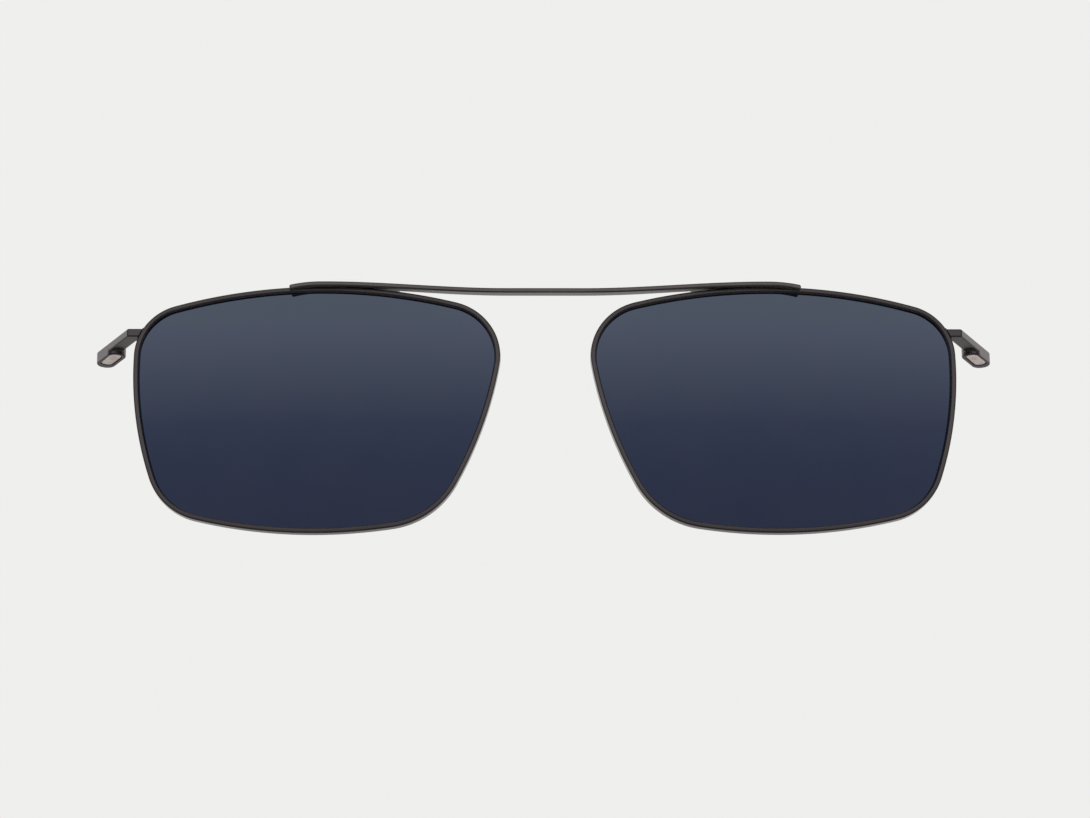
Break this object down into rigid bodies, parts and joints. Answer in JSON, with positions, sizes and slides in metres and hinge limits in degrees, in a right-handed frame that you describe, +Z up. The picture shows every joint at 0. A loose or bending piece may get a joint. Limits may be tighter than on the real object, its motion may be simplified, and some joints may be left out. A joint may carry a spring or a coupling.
{
  "type": "clip on sunglasses",
  "caption": "Rimmed metal clip-on sun lenses with one brow bar and bent temple arms that hold magnets facing down, to sit over a spectacle frame.",
  "frame": {"origin": "centre of the whole object's bounding box", "axes": "+Z up as worn, -Y the front that faces away from the wearer, +X to the wearer's left"},
  "size_m": [0.14, 0.0164, 0.0397],
  "materials": {
    "gunmetal": "satin gunmetal coating over stainless steel",
    "mirror_lens": "dark blue polymer sun lens with a flash mirror coat, paler at the top",
    "magnet_plating": "satin nickel plating on a neodymium magnet",
    "adhesive": "dark epoxy",
    "braze": "silver braze under the same gunmetal coating"
  },
  "bodies": {
    "root": {"brow_bar": "gunmetal", "right_rim": "gunmetal", "right_lens": "mirror_lens", "right_arm": "gunmetal", "right_magnet": "magnet_plating", "right_magnet_adhesive": "adhesive", "right_arm_braze": "braze", "right_bar_braze": "braze", "left_rim": "gunmetal", "left_lens": "mirror_lens", "left_arm": "gunmetal", "left_magnet": "magnet_plating", "left_magnet_adhesive": "adhesive", "left_arm_braze": "braze", "left_bar_braze": "braze"}
  },
  "joints": []
}
